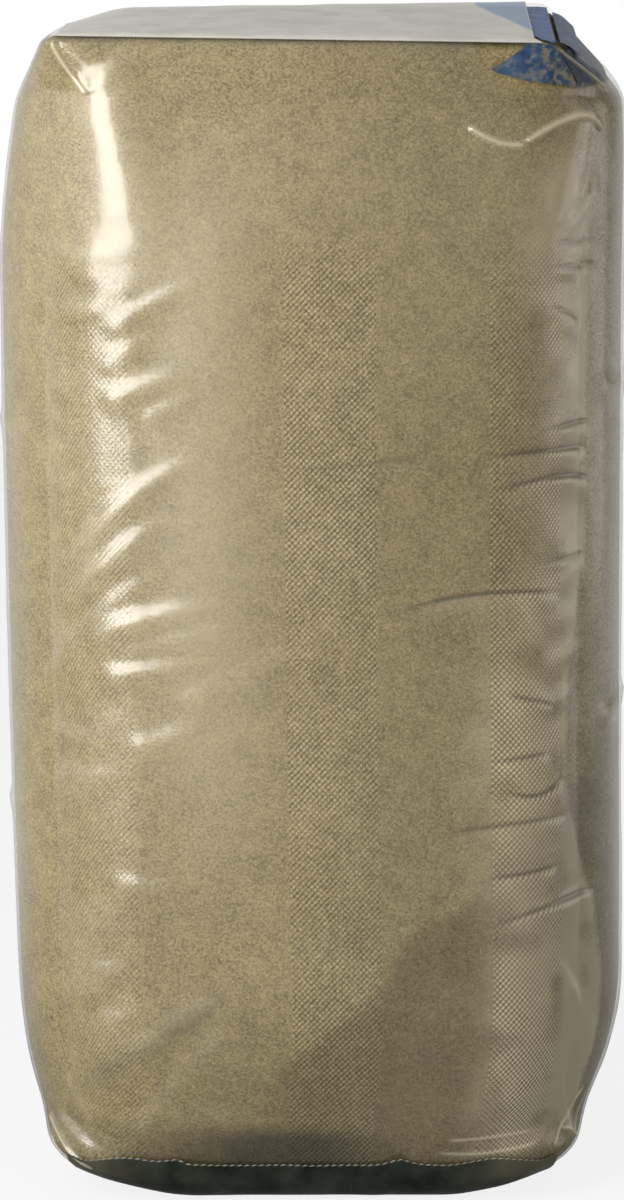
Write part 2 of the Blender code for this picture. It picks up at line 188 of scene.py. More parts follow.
# Folds of slack film, in millimetres: girth from the front's middle (right is positive) and
# height at the corner's end, the same at the inner end, how far its middle bows up, and how
# proud it stands in tenths
SOFT_FOLDS = (
    (-95, 383, -42, 411, 2, 12),
    (-96, 367, -65, 387, 2, 8),
    (-96, 354, -50, 368, 2, 13),
    (-76, 348, -48, 359, 1, 7),
    (-117, 281, -39, 336, 9, 15),
    (-121, 263, -57, 311, 4, 12),
    (-152, 223, -55, 293, 3, 7),
    (-108, 252, -31, 271, 3, 15),
    (-94, 246, -20, 262, 1, 7),
    (-100, 236, -42, 245, 1, 14),
    (-61, 226, -40, 240, -1, 6),
    (-86, 205, -46, 219, 0, 9),
    (-97, 147, -56, 145, 1, 12),
    (-123, 110, -84, 107, 1, 10),
    (-106, 91, -78, 94, -4, 8),
    (150, 452, 96, 420, -6, 12),
    (-40, 234, 30, 262, 5, 6),
    (-18, 310, 12, 318, 0, 4),
    (154, 71, 103, 120, 2, 12),
    (158, 8, 117, 66, 4, 16),
    (-158, 30, -104, 15, -2, 14),
    (-140, 58, -109, 21, 4, 12),
    (150, 360, 235, 366, -6, 12),
    (154, 210, 240, 214, 8, 12),
    (-150, 336, -235, 330, 8, 12),
    (-152, 180, -240, 180, -8, 12),
    (262, 290, 345, 318, 8, 16),
    (266, 392, 330, 384, -7, 14),
    (-262, 140, -330, 130, 7, 16),
    (-266, 352, -336, 350, -10, 14),
)
# The folds along whose upper side a sharp crease runs, written as the others
CREASED_FOLDS = (
    (149, 341, 100, 339, 1, 10),
    (145, 330, 70, 330, 1, 12),
    (152, 315, 74, 314, 5, 14),
    (144, 284, 104, 283, 0, 8),
    (118, 268, 31, 262, 6, 12),
    (112, 220, 83, 229, 0, 10),
    (110, 200, 76, 199, 0, 10),
    (120, 189, 82, 188, -6, 12),
    (125, 171, 51, 167, 2, 10),
    (154, 136, 68, 124, 4, 18),
    (116, 150, 73, 148, 0, 12),
    (134, 385, 104, 393, 1, 8),
    (154, 419, 104, 420, 0, 6),
    (155, 408, 104, 409, 0, 6),
    (54, 331, -22, 325, -2, 4),
    (256, 190, 345, 186, -9, 16),
    (-262, 228, -345, 258, 4, 16),
)
# Half a fold's width above and below its line, how sharp its top is, and how much wider it is
# at the corner's end than at the inner end
FOLD_ABOVE, FOLD_BELOW, FOLD_SHARPNESS = 0.0032, 0.0062, 1.7
FOLD_WIDE, FOLD_NARROWING = 1.25, 0.70
# The ridges that run down from the corners of the top block, as the folds, without a crease
RIDGES = (
    (-105, 500, -66, 388, 14, 26),
    (128, 490, 104, 400, 6, 16),
    (282, 490, 302, 404, 0, 18),
    (-282, 490, -302, 404, 0, 18),
)
RIDGE_HALF = 0.0140
# Narrow welts of doubled film at the corners, as the ridges, with half their width last
WELTS = (
    (-131, 509, -103, 486, -1, 18, 0.0014),
    (134, 508, 168, 486, 1, 14, 0.0010),
    (161, 45, 128, 12, -2, 14, 0.0010),
    (170, 44, 156, 11, -2, 10, 0.0010),
    (141, 21, 162, 10, 3, 8, 0.0009),
    (-168, 24, -112, 6, -3, 14, 0.0012),
    (-163, 14, -124, 3, -3, 8, 0.0008),
    (-114, 52, -46, 97, 3, 9, 0.0040),
    (-88, 32, -42, 84, 4, 8, 0.0045),
    (66, 475, 92, 467, -3, 14, 0.0013),
    (90, 467, 150, 470, 10, 16, 0.0014),
    (64, 31, 112, 27, 1, 3, 0.0008),
    (60, 25, 116, 19, 0, 3, 0.0008),
)
# The welts under this half width are edges of film, which catch light
NARROW_WELT = 0.0015
# The sharp creases lie this far above their folds in millimetres, less at the inner end, and
# are deepest beside folds that stand so many tenths proud
CREASE_UP, CREASE_UP_INNER, DEEPEST_AT = 3.0, 1.8, 12
CREASE_DEEP, CREASE_HALF = 0.0008, 0.0010
# How far from a crease or a narrow welt the film's mesh is finer
FINE_REACH = 0.0038
# The shares of a line's length, from the corner's end, where it has risen and where it begins
# to run out
FOLD_RUN, RIDGE_RUN, WELT_RUN = (0.18, 0.50), (0.10, 0.45), (0.06, 0.92)
CREASE_RUN, SHINE_RUN = (0.20, 0.60), (0.10, 0.85)
# The broad swelling beside the left corner, from which the gathers run inwards
SWELL_GIRTH, SWELL_HALF, SWELL_PROUD = -0.045, 0.026, 0.0021
SWELL_HEIGHTS = (0.10, 0.24, 0.40, 0.48)
# The fine gathers beside each corner, and the soft waves that the film has all over
GATHER_GIRTHS, GATHER_FULL, GATHER_GONE = (0.108, 0.300), 0.008, 0.050
GATHER_PROUD, GATHER_FLOOR, GATHER_SLANT = 0.0022, 0.28, 0.12
SOFT_WAVE, SMALL_WAVE = 0.0007, 0.00025
WAVE_HEIGHTS = (0.02, 0.05, 0.46, 0.50)
# The hazy strip beside the right front corner, film off the sand and a painted highlight in one: the
# girths of its two edges high up, how much further in they are low down and further out at the foot,
# how soft, and how strong
HAZE_INNER, HAZE_INNER_LOW, HAZE_INNER_FOOT = 0.112, 0.022, 0.008
HAZE_OUTER, HAZE_OUTER_LOW, HAZE_OUTER_FOOT = 0.146, 0.020, 0.034
HAZE_IN_SOFT, HAZE_IN_FULL, HAZE_OUT_SOFT = 0.034, 0.006, 0.007
HAZE_LOW, HAZE_FOOT, HAZE_HEIGHTS = (0.22, 0.30), (0.10, 0.20), (0.012, 0.026, 0.44, 0.47)
HAZE_STRENGTH, HAZE_FOOT_STRENGTH, HAZE_MOST = 1.45, 0.60, 1.8
# Where the film lies over the valve sleeve: girths and heights round the corner, and x on top
VALVE_GIRTHS, VALVE_HEIGHTS, VALVE_TOP = (0.085, 0.094, 0.262, 0.268), (0.4885, 0.4915), (0.124, 0.127)


def bowed_line(g0, z0, g1, z1, bow, pieces=8):
    """The points of a line between two ends whose middle bows up, in metres."""
    shares = np.linspace(0.0, 1.0, pieces + 1)
    rise = 4 * bow * shares * (1 - shares)
    return list(zip((g0 + (g1 - g0) * shares) * MM, (z0 + (z1 - z0) * shares + rise) * MM))


def beside(girth, z, points):
    """How far along a line of points each place is, from 0 to 1, and how far above it."""
    steps = [math.dist(a, b) for a, b in zip(points, points[1:])]
    share = np.zeros_like(girth)
    off = np.full_like(girth, np.inf)
    gone = 0.0
    for (g0, z0), (g1, z1), step in zip(points, points[1:], steps):
        t = np.clip(((girth - g0) * (g1 - g0) + (z - z0) * (z1 - z0)) / step**2, 0.0, 1.0)
        dg, dz = girth - g0 - t * (g1 - g0), z - z0 - t * (z1 - z0)
        away = np.hypot(dg, dz)
        nearer = away < abs(off)
        above = np.where(dz * (g1 - g0) - dg * (z1 - z0) >= 0, 1.0, -1.0)
        share = np.where(nearer, (gone + t * step) / sum(steps), share)
        off = np.where(nearer, away * above, off)
        gone += step
    return share, off


def run_out(share, run):
    """1 along the middle of a line, nothing at its two ends."""
    risen, falling = run
    return window(share, 0.0, risen, falling, 1.0)


def folded(girth, z):
    """How far the folds, ridges and welts stand off the smooth form."""
    proud = np.zeros_like(girth)
    for *line, tenths in SOFT_FOLDS + CREASED_FOLDS:
        share, off = beside(girth, z, bowed_line(*line))
        upper = off if line[2] > line[0] else -off
        width = np.where(upper > 0, FOLD_ABOVE, FOLD_BELOW) * (FOLD_WIDE - FOLD_NARROWING * share)
        ends = run_out(share, FOLD_RUN)
        proud = np.maximum(proud, tenths * TENTH * ends * hump(off, width, FOLD_SHARPNESS))
    for *line, tenths in RIDGES:
        share, off = beside(girth, z, bowed_line(*line))
        ends = run_out(share, RIDGE_RUN)
        proud = np.maximum(proud, tenths * TENTH * ends * hump(off, RIDGE_HALF))
    for *line, tenths, half in WELTS:
        share, off = beside(girth, z, bowed_line(*line))
        proud = proud + tenths * TENTH * run_out(share, WELT_RUN) * hump(off, half)
    return proud


def film_edges():
    """The narrow welts: each one's line, and half its width."""
    return [(bowed_line(*line), half) for *line, _, half in WELTS if half < NARROW_WELT]


def edge_shine(girth, z):
    """1 along the narrow welts, where the film's cut and folded edges catch light; there a highlight
    is painted in the film's milk.
    """
    shine = np.zeros_like(girth)
    for line, half in film_edges():
        share, off = beside(girth, z, line)
        shine = np.maximum(shine, run_out(share, SHINE_RUN) * hump(off, half))
    return shine


def valve_share(cage):
    """1 where the film lies over the valve sleeve, at the right end of the top."""
    around = window(cage_girth(cage), *VALVE_GIRTHS) * ramp(cage[:, 2], *VALVE_HEIGHTS)
    above = ramp(cage[:, 0], *VALVE_TOP) * (cage[:, 2] > HEAD_Z - HAIR)
    return np.maximum(around, above)


def hazy_highlight_share(cage):
    """Where the film is milky beside the right front corner: slack film off the sand, and a highlight
    painted there in its milk.
    """
    girth, z = cage_girth(cage), cage[:, 2]
    torn = 1.5 * value_noise(girth * 70 + 1, z * 90 + 2, 61)
    torn = torn + 0.5 * value_noise(girth * 30, z * 40, 62)
    low, foot = 1 - ramp(z, *HAZE_LOW), 1 - ramp(z, *HAZE_FOOT)
    inner = HAZE_INNER - HAZE_INNER_LOW * low + HAZE_INNER_FOOT * foot
    outer = HAZE_OUTER - HAZE_OUTER_LOW * low + HAZE_OUTER_FOOT * foot
    across = window(girth, inner - HAZE_IN_SOFT, inner + HAZE_IN_FULL, outer - HAZE_OUT_SOFT, outer)
    return (HAZE_STRENGTH + HAZE_FOOT_STRENGTH * foot) * across * torn * window(z, *HAZE_HEIGHTS)


def crease_lines():
    """The sharp creases: a line beside each creased fold, on its upper side, and its depth."""
    lines = []
    for g0, z0, g1, z1, bow, tenths in CREASED_FOLDS:
        line = bowed_line(g0, z0 + CREASE_UP, g1, z1 + CREASE_UP_INNER, bow)
        lines.append((line, CREASE_DEEP * min(tenths, DEEPEST_AT) / DEEPEST_AT))
    return lines


def grooved(girth, z):
    """How deep the sharp creases lie; negative."""
    deep = np.zeros_like(girth)
    for line, depth in crease_lines():
        share, off = beside(girth, z, line)
        deep = np.minimum(deep, -depth * run_out(share, CREASE_RUN) * hump(off, CREASE_HALF))
    return deep


def girth_of(x, y, side):
    """The way round the cage from the front's middle line; side is its sign at the back."""
    front = y <= -CAGE_HALF_Y + HAIR
    end = abs(x) >= CAGE_HALF_X - HAIR
    around = np.where(end, CAGE_HALF_X + y + CAGE_HALF_Y, HALF_GIRTH - abs(x))
    return np.where(front, x, side * around)


def spread(parts):
    """Mesh lines from (end, step) pairs: from the last end to this one in about that step."""
    lines = [parts[0]]
    for end, step in parts[1:]:
        count = max(1, round(abs(end - lines[-1]) / step))
        lines += list(np.linspace(lines[-1], end, count + 1)[1:])
    return np.array(lines)


def mesh_from(bm, name):
    """The mesh that a bmesh ends as."""
    mesh = bpy.data.meshes.new(name)
    bm.to_mesh(mesh)
    bm.free()
    return mesh


def box_of_lines(lines_x, lines_y, lines_z, finer=None, open_at=None):
    """A box whose faces are cut along the given lines, finer where finer() says so and open
    where open_at() says so.
    """
    bm = bmesh.new()
    bmesh.ops.create_cube(bm, size=1.0)
    for axis, lines in enumerate((lines_x, lines_y, lines_z)):
        along = [e for e in bm.edges if abs(e.verts[0].co[axis] - e.verts[1].co[axis]) > 0.5]
        bmesh.ops.subdivide_edges(bm, edges=along, cuts=len(lines) - 2, use_grid_fill=True)
    co = np.array([v.co for v in bm.verts])
    for axis, lines in enumerate((lines_x, lines_y, lines_z)):
        place = (co[:, axis] + 0.5) * (len(lines) - 1)
        co[:, axis] = np.interp(place, np.arange(len(lines)), lines)
    for vert, place in zip(bm.verts, co):
        vert.co = place
    if finer:
        bm.verts.index_update()
        wanted = finer(co)
        edges = [e for e in bm.edges if wanted[e.verts[0].index] and wanted[e.verts[1].index]]
        bmesh.ops.subdivide_edges(bm, edges=edges, cuts=FINER_CUTS, use_grid_fill=True)
    if open_at:
        taken = [f for f in bm.faces if open_at(f.calc_center_median())]
        bmesh.ops.delete(bm, geom=taken, context="FACES")
    mesh = mesh_from(bm, "box_of_lines")
    return mesh, read_points(mesh)


def read_points(mesh):
    """The mesh's points as an array of rows."""
    co = np.empty(3 * len(mesh.vertices), dtype=np.float32)
    mesh.vertices.foreach_get("co", co)
    return co.reshape(-1, 3).astype(float)


def write_points(mesh, co):
    """Moves the mesh's points to the rows of an array."""
    mesh.vertices.foreach_set("co", co.astype(np.float32).ravel())
    mesh.update()


def read_normals(mesh):
    """The mesh's point normals as an array of rows."""
    rows = np.empty(3 * len(mesh.vertices), dtype=np.float32)
    mesh.vertex_normals.foreach_get("vector", rows)
    return rows.reshape(-1, 3).astype(float)


def unroll(mesh, cage):
    """A UV map in metres: girth and cage height on the sides, X and Y on the two blocks."""
    loops = np.empty(len(mesh.loops), dtype=np.int32)
    mesh.loops.foreach_get("vertex_index", loops)
    totals = np.empty(len(mesh.polygons), dtype=np.int32)
    mesh.polygons.foreach_get("loop_total", totals)
    starts = np.concatenate(([0], np.cumsum(totals)[:-1]))
    x, y, z = cage[loops].T
    middle_x = np.repeat(np.add.reduceat(x, starts) / totals, totals)
    flat_z = np.maximum.reduceat(z, starts) - np.minimum.reduceat(z, starts) < HAIR
    on_block = np.repeat(flat_z, totals)
    side = np.where(middle_x < 0, -1.0, 1.0)
    u = np.where(on_block, x, girth_of(x, y, side))
    v = np.where(on_block, y, z)
    layer = mesh.uv_layers.new(name="film")
    layer.uv.foreach_set("vector", np.column_stack((u, v)).astype(np.float32).ravel())


def point_values(mesh, name, values):
    """Keeps one number per point on the mesh, for its material."""
    layer = mesh.attributes.new(name, "FLOAT", "POINT")
    layer.data.foreach_set("value", values.astype(np.float32))


def value_noise(x, y, seed):
    """Smooth noise from 0 to 1 over a plane, one cell per unit."""
    lattice = np.random.default_rng(seed).random((NOISE_CELLS, NOISE_CELLS))
    cell_x, cell_y = np.floor(x).astype(int), np.floor(y).astype(int)
    tx, ty = x - cell_x, y - cell_y
    tx, ty = tx * tx * (3 - 2 * tx), ty * ty * (3 - 2 * ty)
    left, right = cell_x % NOISE_CELLS, (cell_x + 1) % NOISE_CELLS
    low, high = cell_y % NOISE_CELLS, (cell_y + 1) % NOISE_CELLS
    lower = lattice[left, low] * (1 - tx) + lattice[right, low] * tx
    upper = lattice[left, high] * (1 - tx) + lattice[right, high] * tx
    return lower * (1 - ty) + upper * ty


def piece_of(name, mesh, material):
    """One piece of the sack, riding on its one body."""
    mesh.name = name
    piece = bpy.data.objects.new(name, mesh)
    bpy.context.collection.objects.link(piece)
    mesh.materials.append(material)
    mesh.shade_smooth()
    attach(piece, "root")
    return piece


def side_share(cage):
    """1 on the sack's sides, 0 in the middle of its blocks."""
    on_side = (abs(cage[:, 0]) > CAGE_HALF_X - HAIR) | (abs(cage[:, 1]) > CAGE_HALF_Y - HAIR)
    return on_side.astype(float)


def cage_girth(cage):
    """The cage points' girth, from the front's middle line."""
    side = np.where(cage[:, 0] < 0, -1.0, 1.0)
    return girth_of(cage[:, 0], cage[:, 1], side)


def film_relief(cage):
    """How far the film stands off the smooth form at the cage's points, without creases."""
    girth, z = cage_girth(cage), cage[:, 2]
    near_corner = np.zeros_like(girth)
    for corner in GATHER_GIRTHS:
        near_corner = near_corner + 1 - ramp(abs(abs(girth) - corner), GATHER_FULL, GATHER_GONE)
    tilt = z - GATHER_SLANT * abs(abs(girth) - GATHER_GIRTHS[0])
    ripple = value_noise(girth * 26 + 7, tilt * 120, 3) * value_noise(girth * 30, z * 40, 5)
    waves = near_corner * GATHER_PROUD * np.maximum(ripple - GATHER_FLOOR, 0.0)
    waves = waves + SOFT_WAVE * value_noise(girth * 18 + 3, z * 34 + 9, 8)
    waves = waves + SMALL_WAVE * value_noise(girth * 45, z * 75, 12)
    swelling = SWELL_PROUD * window(z, *SWELL_HEIGHTS) * hump(girth - SWELL_GIRTH, SWELL_HALF)
    proud = folded(girth, z) + window(z, *WAVE_HEIGHTS) * waves + swelling
    return proud * side_share(cage)


def near_crease(cage):
    """True at the cage's points beside a sharp crease or a narrow welt."""
    girth, z = cage_girth(cage), cage[:, 2]
    near = np.zeros(len(cage), dtype=bool)
    for line, _ in crease_lines() + film_edges():
        _, off = beside(girth, z, line)
        near |= abs(off) < FINE_REACH
    return near & (side_share(cage) > 0)


def node_maker(material):
    """A short way to add nodes: make(kind, inputs..., settings...) gives the first output."""
    tree = material.node_tree

    def make(kind, *links, out=0, **settings):
        made = tree.nodes.new(kind)
        for name, value in settings.items():
            setattr(made, name, value)
        for socket, source in links:
            target = made.inputs[socket]
            if hasattr(source, "is_linked"):
                tree.links.new(source, target)
            else:
                target.default_value = source
        return made.outputs[out]

    return make


def maths(make, operation, a, b=0.0, c=0.0, clamp=False):
    """One Math node."""
    return make("ShaderNodeMath", (0, a), (1, b), (2, c), operation=operation, use_clamp=clamp)


def colour_steps(make, value, steps):
    """A colour ramp from (place, colour) steps."""
    ramp_out = make("ShaderNodeValToRGB", (0, value))
    band = ramp_out.node.color_ramp
    while len(band.elements) < len(steps):
        band.elements.new(0.5)
    for element, (place, colour) in zip(band.elements, steps):
        element.position = place
        element.color = (*colour, 1.0)
    return ramp_out


def remap(make, value, low, high, to_low=0.0, to_high=1.0):
    """A clamped Map Range node."""
    return make(
        "ShaderNodeMapRange", (0, value), (1, low), (2, high), (3, to_low), (4, to_high)
    )


def blank_material(name):
    """A material with only its output node."""
    material = bpy.data.materials.new(name)
    material.use_nodes = True
    tree = material.node_tree
    tree.nodes.clear()
    output = tree.nodes.new("ShaderNodeOutputMaterial")
    return material, node_maker(material), output


def finished(material, output, shader):
    """The material, with this shader as its surface."""
    material.node_tree.links.new(shader, output.inputs[0])
    return material


def mixed(make, share, a, b, blend="MIX"):
    """One Mix node of two colours."""
    out = make("ShaderNodeMix", data_type="RGBA", blend_type=blend, out=2)
    tree = out.node.id_data
    for index, source in ((0, share), (6, a), (7, b)):
        target = out.node.inputs[index]
        if hasattr(source, "is_linked"):
            tree.links.new(source, target)
        elif index == 0:
            target.default_value = source
        else:
            target.default_value = (*source, 1.0)
    return out


def noise(make, place, scale, detail):
    """One Noise node."""
    return make("ShaderNodeTexNoise", ("Vector", place), ("Scale", scale), ("Detail", detail))


def own_place(make):
    """The place on the piece, in metres."""
    return make("ShaderNodeTexCoord", out=3)


def kept_value(make, name):
    """The number per point that the mesh keeps under this name."""
    return make("ShaderNodeAttribute", attribute_name=name, out=2)


def bumped(make, height, distance, strength):
    """One Bump node."""
    return make(
        "ShaderNodeBump", ("Height", height), ("Distance", distance), ("Strength", strength)
    )


def covered(make, share, under, over):
    """One shader under a share of another."""
    return make("ShaderNodeMixShader", (0, share), (1, under), (2, over))


def painted(make, colour, roughness, specular, bump):
    """The plain shader of what isn't clear."""
    return make(
        "ShaderNodeBsdfPrincipled",
        ("Base Color", colour),
        ("Roughness", roughness),
        ("Specular IOR Level", specular),
        ("Normal", bump),
    )


def knurl_nodes(make):
    """The grip bands' mask and their diamond relief, both from 0 to 1, on the film's UV map."""
    flat = make("ShaderNodeUVMap", uv_map="film")
    parts = make("ShaderNodeSeparateXYZ", (0, flat))
    across, up = parts.node.outputs[0], parts.node.outputs[1]
    turn = maths(make, "MULTIPLY_ADD", across, 0.5 / HALF_GIRTH, 0.5)
    edges = [(0.0, (0.0, 0.0, 0.0))]
    for first, last, clearly in BANDS:
        for edge, level in ((first, clearly), (last, 0.0)):
            edges.append((0.5 + 0.5 * edge * MM / HALF_GIRTH, (level, level, level)))
    banded = colour_steps(make, turn, edges)
    banded.node.color_ramp.interpolation = "CONSTANT"
    worn = remap(make, noise(make, own_place(make), WORN_SCALE, 2.0), WORN_AT, WHOLE_AT, WORN_LEAST)
    mask = maths(make, "MULTIPLY", banded, worn)
    mask = maths(make, "MULTIPLY", mask, remap(make, up, BAND_TOP, BAND_TOP - BAND_FADE))
    lines = []
    for way in ("ADD", "SUBTRACT"):
        phase = maths(make, "MULTIPLY", maths(make, way, across, up), math.pi / KNURL_PITCH)
        lines.append(maths(make, "ABSOLUTE", maths(make, "SINE", phase)))
    rising, falling = lines
    crossing = maths(make, "MULTIPLY_ADD", rising, KNURL_CROSSED, 1 - KNURL_CROSSED)
    return mask, maths(make, "MULTIPLY", falling, crossing)


def uneven_knurl(make, mask, relief):
    """The knurl's lights and darks about their mean."""
    return maths(make, "MULTIPLY", mask, maths(make, "SUBTRACT", relief, KNURL_MEAN))


# The sand's colours from its shaded grains to its clear ones, its dark specks, and how much the damp
# and the painted shade take off
SAND_STEPS = (
    (0.26, (0.120, 0.088, 0.034)),
    (0.56, (0.300, 0.238, 0.106)),
    (0.82, (0.450, 0.366, 0.180)),
    (1.00, (0.620, 0.530, 0.310)),
)
SPECK_BROWN, DAMP_AND_SHADE_TINT = (0.075, 0.062, 0.036), (0.17, 0.17, 0.14)
# The sand's tone: the base level, each single grain's share, and the scale, detail and share
# of its fine grain, patches, clouds and broad shades
SAND_LEVEL, GRAIN_SCALE, GRAIN_SHARE, KNURL_SHARE = -0.22, 1500.0, 0.36, 0.74
SAND_TONES = ((900.0, 3.0, 0.56), (46.0, 5.0, 0.24), (130.0, 4.0, 0.32), (9.0, 2.0, 0.12))
# The dark specks: their scale, which of them are dark, and where each begins and is full
SPECK_SCALE, SPECK_DARK, SPECK_EDGE, SPECK_CORE = 470.0, 0.965, 0.26, 0.14


def sand_material():
    """Quartz sand seen through the film: fine grains, dark specks, a damp lower corner, and painted
    shade towards the right, over the base, in folds at the lower left and under the top edge.
    """
    material, make, output = blank_material("sand_grains")
    place = own_place(make)
    grains = make("ShaderNodeTexVoronoi", ("Vector", place), ("Scale", GRAIN_SCALE), out=1)
    tone = maths(
        make, "MULTIPLY_ADD", make("ShaderNodeSeparateColor", (0, grains)), GRAIN_SHARE, SAND_LEVEL
    )
    for scale, detail, share in SAND_TONES:
        tone = maths(make, "MULTIPLY_ADD", noise(make, place, scale, detail), share, tone)
    tone = maths(make, "MULTIPLY_ADD", uneven_knurl(make, *knurl_nodes(make)), KNURL_SHARE, tone)
    colour = colour_steps(make, tone, SAND_STEPS)
    # Darker where the sand is damp, and where shade is painted into its colour: towards the right,
    # over the base, in folds at the lower left and under the top patch's edge
    colour = mixed(make, kept_value(make, "damp_and_shade"), colour, DAMP_AND_SHADE_TINT, blend="MULTIPLY")
    specks = make("ShaderNodeTexVoronoi", ("Vector", place), ("Scale", SPECK_SCALE))
    speck_tone = make("ShaderNodeSeparateColor", (0, specks.node.outputs["Color"]))
    dark = maths(make, "GREATER_THAN", speck_tone, SPECK_DARK)
    speck = maths(make, "MULTIPLY", dark, remap(make, specks, SPECK_EDGE, SPECK_CORE))
    colour = mixed(make, speck, colour, SPECK_BROWN)
    shader = painted(make, colour, 0.9, 0.2, bumped(make, tone, 0.0004, 0.5))
    return finished(material, output, shader)


# How much of the light a film mirrors at a grazing view, and how soon that falls off
GRAZING_GLOSS, GRAZING_POWER = 0.75, 4.0
# The same head on: the clear film has both its faces, and the patch is dull
FILM_GLOSS, PATCH_GLOSS, PATCH_DULL = 0.135, 0.075, 0.50
# The clear film's two kinds of shine, the share of the broad one, and how much shine is lost
# over the valve sleeve
SHARP_ROUGHNESS, BROAD_ROUGHNESS, BROAD_SHARE, VALVE_DULL = 0.21, 0.50, 0.40, 0.92
# The film's milky dust, and how much of it shows: everywhere, where the film stands off the sand and
# where a highlight is painted beside the right corner, more on the knurl there, and along cut edges as
# a painted highlight; then the dark brown painted as shade in the sharp creases, and its share
DUST_COLOUR, CREASE_SHADE_COLOUR = (0.86, 0.75, 0.50, 1.0), (0.090, 0.072, 0.036, 1.0)
DUST_LEAST, DUST_OFF_SAND, DUST_ON_KNURL, EDGE_HIGHLIGHT_SHARE = 0.02, 0.19, 0.45, 0.30
CREASE_SHADE_SHARE = 0.75
# The film's fine relief: the knurl's height, and the crinkles' and pimples' scale, detail and
# height
KNURL_HEIGHT = 0.24
FILM_RELIEF = ((130.0, 3.0, 0.22), (650.0, 2.0, 0.03))


def film_gloss_share(make, bump, head_on):
    """How much a thin film mirrors: a little head on, more at a grazing view."""
    facing = make("ShaderNodeLayerWeight", ("Blend", 0.5), ("Normal", bump), out=1)
    grazing = maths(make, "POWER", facing, GRAZING_POWER)
    return maths(make, "MULTIPLY_ADD", grazing, GRAZING_GLOSS, head_on, clamp=True)


def clear_film_material():
    """Clear glossy film with knurled grip bands, hazier where it stands off the sand, with a highlight
    painted in its milk beside the right corner and along its narrow welts, and shade painted dark in
    its sharp creases.
    """
    material, make, output = blank_material("clear_creased_film")
    mask, relief = knurl_nodes(make)
    place = own_place(make)
    height = maths(make, "MULTIPLY", maths(make, "MULTIPLY", mask, relief), KNURL_HEIGHT)
    for scale, detail, share in FILM_RELIEF:
        height = maths(make, "MULTIPLY_ADD", noise(make, place, scale, detail), share, height)
    bump = bumped(make, height, 0.0005, 0.7)
    ribbed = maths(
        make, "MULTIPLY_ADD", uneven_knurl(make, mask, relief), DUST_ON_KNURL, DUST_OFF_SAND
    )
    dust = maths(make, "MULTIPLY", kept_value(make, "off_sand_and_highlight"), ribbed)
    dust = maths(make, "ADD", dust, DUST_LEAST, clamp=True)
    # A highlight painted in the milk along the narrow welts' edges
    dust = maths(make, "MULTIPLY_ADD", kept_value(make, "cut_edge"), EDGE_HIGHLIGHT_SHARE, dust)
    clear = make("ShaderNodeBsdfTransparent")
    milk = make("ShaderNodeBsdfDiffuse", ("Color", DUST_COLOUR), ("Normal", bump))
    # Painted shade: a dark brown laid over the film in its sharp creases
    shade = make("ShaderNodeBsdfDiffuse", ("Color", CREASE_SHADE_COLOUR))
    crease_shade = maths(make, "MULTIPLY", kept_value(make, "crease_shade"), CREASE_SHADE_SHARE)
    body = covered(make, crease_shade, covered(make, dust, clear, milk), shade)
    sharp = make("ShaderNodeBsdfGlossy", ("Roughness", SHARP_ROUGHNESS), ("Normal", bump))
    broad = make("ShaderNodeBsdfGlossy", ("Roughness", BROAD_ROUGHNESS), ("Normal", bump))
    gloss = covered(make, BROAD_SHARE, sharp, broad)
    kept_gloss = maths(make, "MULTIPLY_ADD", kept_value(make, "at_valve"), -VALVE_DULL, 1.0)
    gloss_share = maths(make, "MULTIPLY", film_gloss_share(make, bump, FILM_GLOSS), kept_gloss)
    return finished(material, output, covered(make, gloss_share, body, gloss))


# The pale patch's milk from its thin to its thick places, over the blue sleeve and at its
# edge, and how much of what lies under it the milk hides
MILK_STEPS = ((0.35, (0.74, 0.70, 0.62)), (0.65, (0.90, 0.86, 0.77)))
MILK_OVER_BLUE, MILK_EDGE = (0.22, 0.36, 0.56), (0.66, 0.63, 0.57)
MILK_LEAST, MILK_IN_CLOUDS, MILK_AT_EDGE = 0.80, 0.20, 0.35
MILK_GRAIN = 0.35


def top_patch_material():
    """Milky satin film that lets the blue sleeve and the sand show through."""
    material, make, output = blank_material("pale_patch_film")
    place = own_place(make)
    cloud, grain = noise(make, place, 60.0, 6.0), noise(make, place, 900.0, 2.0)
    tone = maths(make, "MULTIPLY", cloud, 1 - MILK_GRAIN)
    tone = maths(make, "MULTIPLY_ADD", grain, MILK_GRAIN, tone)
    colour = colour_steps(make, tone, MILK_STEPS)
    colour = mixed(make, kept_value(make, "tinted"), colour, MILK_OVER_BLUE)
    edge = kept_value(make, "edge")
    colour = mixed(make, edge, colour, MILK_EDGE)
    milk_share = maths(make, "MULTIPLY_ADD", cloud, MILK_IN_CLOUDS, MILK_LEAST)
    milk_share = maths(make, "MULTIPLY_ADD", edge, MILK_AT_EDGE, milk_share, clamp=True)
    bump = bumped(make, tone, 0.0004, 0.35)
    clear = make("ShaderNodeBsdfTransparent")
    milk = make("ShaderNodeBsdfDiffuse", ("Color", colour), ("Normal", bump))
    gloss = make("ShaderNodeBsdfGlossy", ("Roughness", 0.45), ("Normal", bump))
    gloss_share = maths(make, "MULTIPLY", film_gloss_share(make, bump, PATCH_GLOSS), PATCH_DULL)
    body = covered(make, milk_share, clear, milk)
    return finished(material, output, covered(make, gloss_share, body, gloss))


# The dark patch's film from its dark to its light clouds, its dust, and the highlight painted along
# its saw-cut edge
DARK_STEPS = ((0.35, (0.009, 0.013, 0.009)), (0.70, (0.034, 0.042, 0.031)))
DARK_DUST, SAW_EDGE_HIGHLIGHT = (0.110, 0.104, 0.070), (0.62, 0.60, 0.54)


